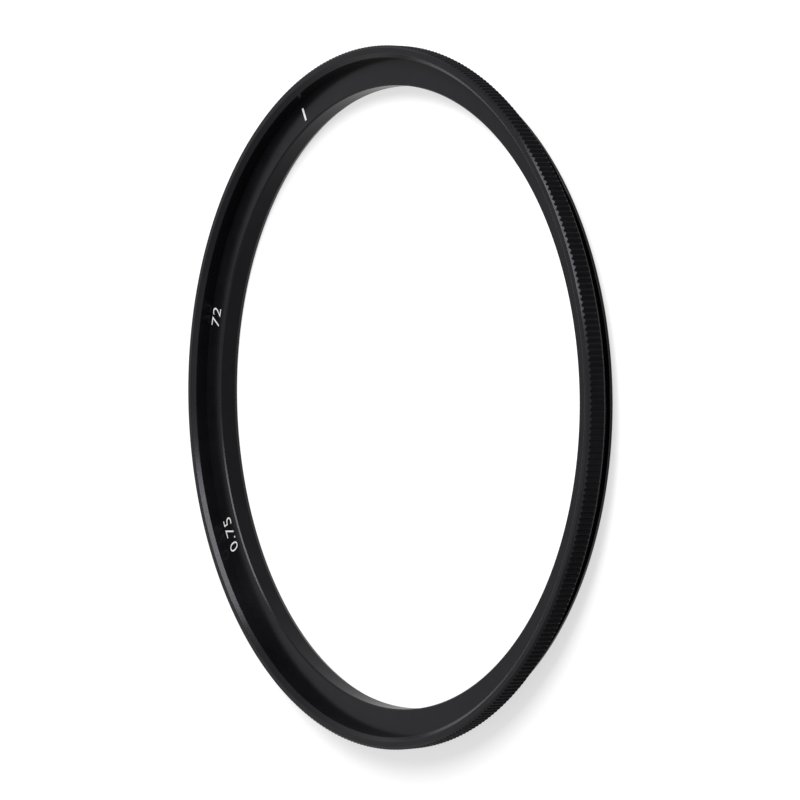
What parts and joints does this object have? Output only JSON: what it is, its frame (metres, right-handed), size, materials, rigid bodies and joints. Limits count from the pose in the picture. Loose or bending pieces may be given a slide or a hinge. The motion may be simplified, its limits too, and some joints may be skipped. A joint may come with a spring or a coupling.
{
  "type": "magnetic filter adapter ring",
  "caption": "Flat black steel ring with a knurled rim: its rear thread screws into a camera lens, and a magnetic filter drops into its front recess.",
  "frame": {"origin": "centre of the rear end face of the threaded boss, on the optical axis", "axes": "+Z along the optical axis, out of the front where the filter sits; the ring lies on its rear end face"},
  "size_m": [0.075, 0.075, 0.0044],
  "materials": {
    "black_finish": "satin black coating on turned magnetic steel"
  },
  "bodies": {
    "root": {"adapter_ring": "black_finish"}
  },
  "joints": []
}
